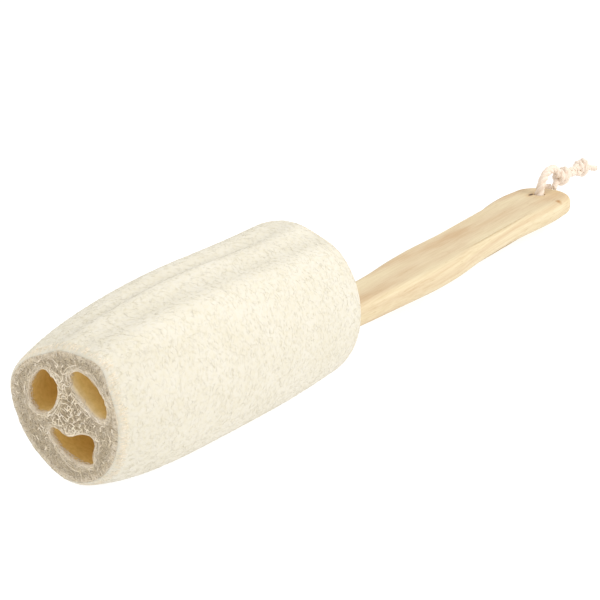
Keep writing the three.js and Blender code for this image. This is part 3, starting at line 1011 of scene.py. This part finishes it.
def wood_material():
    mat, tree, shader = material("pale_wood", {"Roughness": 0.55, "Specular IOR Level": 0.35})
    top = HANDLE_Z + HANDLE_THICKNESS / 2
    colour = ramp(tree, object_noise(tree, 1, 3, (5, 60, 330)), [
        (0.30, (0.56, 0.40, 0.23)), (0.42, (0.63, 0.50, 0.32)),
        (0.56, (0.68, 0.57, 0.37)), (0.7, (0.71, 0.61, 0.41)),
    ])
    grain = object_noise(tree, 1, 4, (22, 1500, 1500))
    pores = object_noise(tree, 1, 2, (90, 2600, 2600))
    colour = mottled(tree, colour, grain, 0.30, (0.90, 0.86, 0.80), 0.6)
    colour = mottled(tree, colour, pores, 0.26, (0.80, 0.72, 0.62), 0.34)
    # a dark spot beside the cord hole and the halo round it, a brown mark by the near edge, and the tip a
    # little darker round the cord, partly wear and partly the cord's painted shadow
    for place, radii, soft, stain_and_shade in [
        ((378.2, -2.9, top), (2.4, 1.05), 0.35, (0.14, 0.08, 0.05)),
        ((378.2, -2.9, top), (4.4, 1.8), 0.6, (0.88, 0.76, 0.60)),
        ((373.8, -21.6, top), (1.8, 1.3), 0.7, (0.66, 0.44, 0.24)),
        # the cord's painted shadow, together with wear, darkening the tip
        ((389.0, -9.0, top), (14.0, 13.0), 0.7, (0.94, 0.86, 0.78)),
    ]:
        colour = spotted(tree, colour, place, radii, soft, stain_and_shade)
    tree.links.new(colour, shader.inputs["Base Color"])
    bumped(tree, shader, object_noise(tree, 1, 4, (30, 1800, 1800)), 0.25, 0.0002)
    return mat


def handle_outline():
    """The board's outline from above, as a closed loop of (x, y) about the handle's line."""
    near = smooth_path([(x, -reach, 0) for x, reach, _ in HALF_WIDTHS], 10)[:, :2]
    far = smooth_path([(x, reach, 0) for x, _, reach in HALF_WIDTHS], 10)[::-1, :2]
    turn = np.radians(np.linspace(-90, 90, 41))[1:-1]
    middle, half = (far[0, 1] + near[-1, 1]) / 2, (far[0, 1] - near[-1, 1]) / 2
    tip = np.stack([TOTAL_LENGTH - TIP_LENGTH + TIP_LENGTH * np.cos(turn), middle + half * np.sin(turn)], -1)
    return np.concatenate([near, tip, far])


def rounded(ease, count):
    """A rounded edge as (inset, height), from the board's top face down to its bottom face."""
    turn = np.radians(np.linspace(0, 90, count))
    inset = ease * (1 - np.sin(turn))
    height = HANDLE_THICKNESS / 2 - ease * (1 - np.cos(turn))
    return list(zip(inset, height)) + list(zip(inset[::-1], -height[::-1]))


def board_cap(outer, inner, height):
    """A flat face between the outline and the hole."""
    flat, triangles = triangulated(np.concatenate([outer, inner]), loop_edges([outer, inner]))
    middle = flat[triangles].mean(1)
    xs, near, far = np.array(HALF_WIDTHS).T
    near, far = np.interp(middle[:, 0], xs, near), np.interp(middle[:, 0], xs, far)
    beyond = np.clip((middle[:, 0] - TOTAL_LENGTH + TIP_LENGTH) / TIP_LENGTH, 0, 1)
    reach = (far + near) / 2 * np.sqrt(1 - beyond ** 2) - HANDLE_EDGE * 0.6
    solid = np.abs(middle[:, 1] - (far - near) / 2) < reach
    solid &= np.hypot(middle[:, 0] - CORD_HOLE_X, middle[:, 1]) > CORD_HOLE_RADIUS + HOLE_EASE
    triangles = triangles[solid]
    return np.column_stack([flat, np.full(len(flat), height)]), triangles


def handle():
    outline = handle_outline()
    tangent = unit(np.roll(outline, -1, 0) - np.roll(outline, 1, 0))
    normal = np.stack([tangent[:, 1], -tangent[:, 0]], -1)
    turn = np.radians(np.arange(0, 360, 10))
    rings = [(outline - normal * inset, height) for inset, height in rounded(HANDLE_EDGE, 9)]
    circle = np.stack([np.cos(turn), np.sin(turn)], -1)
    hole = [(np.array([CORD_HOLE_X, 0]) + circle * (CORD_HOLE_RADIUS + inset), height)
            for inset, height in rounded(HOLE_EASE, 5)]
    parts = []
    for levels, outwards in ((rings, False), (hole, True)):
        grid = np.stack([np.column_stack([flat, np.full(len(flat), height)]) for flat, height in levels])
        parts.append((grid.reshape(-1, 3), wall_grid(grid, outwards)))
    for which, flip in ((0, False), (-1, True)):
        points, triangles = board_cap(rings[which][0], hole[which][0], rings[which][1])
        parts.append((points, triangles[:, ::-1] if flip else triangles))
    points, faces, part_of, _ = weld(parts)
    points = points + np.array([0, HANDLE_Y, HANDLE_Z])
    piece = mesh_object("wooden_handle", points, faces, wood_material(), part_of < 2)
    face_outwards(piece)
    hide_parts("handle")
    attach(piece, "scrubber")


# ---- nails and glue ----
def loofah_bottom(x):
    """The z of the loofah's underside, straight under the handle's line."""
    angle = -math.acos(HANDLE_Y / (FRONT_RADIUS + SWELL))
    return float(outline_radius(math.degrees(angle), np.array(x))) * math.sin(angle)


def steel_material():
    mat, tree, shader = material("nail_steel", {"Metallic": 1.0, "Roughness": 0.38})
    tone = ramp(tree, object_noise(tree, 900, 3), [(0.35, (0.42, 0.41, 0.39)), (0.65, (0.62, 0.61, 0.58))])
    tree.links.new(tone, shader.inputs["Base Color"])
    bumped(tree, shader, object_noise(tree, 4000, 2), 0.3, 0.0001)
    return mat


def nail(name, x, mat):
    """A round wire nail with a flat head, four grooves under it and a tapered point, drawn as rings."""
    head = loofah_bottom(x) + NAIL_SUNK
    profile = [
        (0.01, 0.0), (NAIL_HEAD_RADIUS - 0.25, 0.0), (NAIL_HEAD_RADIUS, 0.2),
        (NAIL_HEAD_RADIUS, NAIL_HEAD_THICKNESS - 0.15), (NAIL_HEAD_RADIUS - 0.2, NAIL_HEAD_THICKNESS),
        (NAIL_RADIUS + 0.1, NAIL_HEAD_THICKNESS + 0.1),
    ]
    for k in range(4):
        low = NAIL_HEAD_THICKNESS + 0.4 + 0.5 * k
        profile += [(NAIL_RADIUS, low), (NAIL_RADIUS - 0.08, low + 0.15), (NAIL_RADIUS, low + 0.3)]
    profile += [(NAIL_RADIUS, NAIL_LENGTH - 3.0), (NAIL_RADIUS * 0.6, NAIL_LENGTH - 1.2), (0.01, NAIL_LENGTH)]
    turn = np.radians(np.arange(0, 360, 15))
    grid = np.stack([
        np.stack([radius * np.cos(turn), radius * np.sin(turn), np.full(len(turn), height)], -1)
        for radius, height in profile])
    faces = wall_grid(grid, False).tolist()
    last = (len(profile) - 1) * len(turn)
    faces += [list(range(len(turn)))[::-1], list(range(last, last + len(turn)))]
    piece = mesh_object(f"{name}_wire", grid.reshape(-1, 3) + np.array([x, HANDLE_Y, head]), faces, mat)
    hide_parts(name)
    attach(piece, "scrubber")


def glue_material():
    mat, tree, shader = material("hot_melt_glue", {
        "Roughness": 0.28, "Subsurface Weight": 0.35, "Subsurface Radius": (0.003, 0.002, 0.001),
    })
    tone = ramp(tree, object_noise(tree, 160, 3), [(0.3, (0.80, 0.70, 0.47)), (0.7, (0.90, 0.83, 0.64))])
    tree.links.new(tone, shader.inputs["Base Color"])
    bumped(tree, shader, object_noise(tree, 300, 2), 0.3, 0.0006)
    return mat


def glue():
    """Set glue between the tang and the cavity wall, with a lumpy bead at the mouth."""
    cavity = CAVITIES["low"]
    around = np.arange(0, 360, 4.0)
    t = np.radians(around)
    half_y, half_z = TANG_HALF_WIDTH + 0.05, HANDLE_THICKNESS / 2 + 0.05
    reach = 1 / (np.abs(np.cos(t) / half_y) ** 6 + np.abs(np.sin(t) / half_z) ** 6) ** (1 / 6)
    inner = np.stack([HANDLE_Y + reach * np.cos(t), HANDLE_Z + reach * np.sin(t)], -1)
    outer_at = {x: cavity_point(cavity, around, x, 0.15) for x in (GLUE_START, GLUE_END)}
    section = [(0.0, 0.0), (0.3, 1.0), (0.7, 1.0), (1.0, 0.1)]     # across the bead, how proud it stands
    rings = []
    for across in np.linspace(0, 1, 9):
        flat = inner + (outer_at[GLUE_END] - inner) * across
        proud = np.interp(across, *zip(*section))
        lumps = np.array([mnoise.noise(Vector((*p, 4.0)) * 0.25) for p in flat])
        x = GLUE_END - 1.4 + proud * (1.1 + 0.9 * lumps)
        rings.append(np.column_stack([x, flat]))
    rings.append(np.column_stack([np.full(len(t), GLUE_START), outer_at[GLUE_START]]))
    rings.append(np.column_stack([np.full(len(t), GLUE_START), inner]))
    grid = np.stack(rings + rings[:1])
    quads = wall_grid(grid, True)
    count = len(t)
    quads = np.where(quads >= count * len(rings), quads - count * len(rings), quads)
    piece = mesh_object("glue_bead", np.concatenate(rings), quads, glue_material())
    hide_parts("glue_collar")
    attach(piece, "scrubber")


hang_cord()
loofah()
handle()
STEEL = steel_material()
for nail_name, nail_x in NAILS.items():
    nail(nail_name, nail_x, STEEL)
glue()
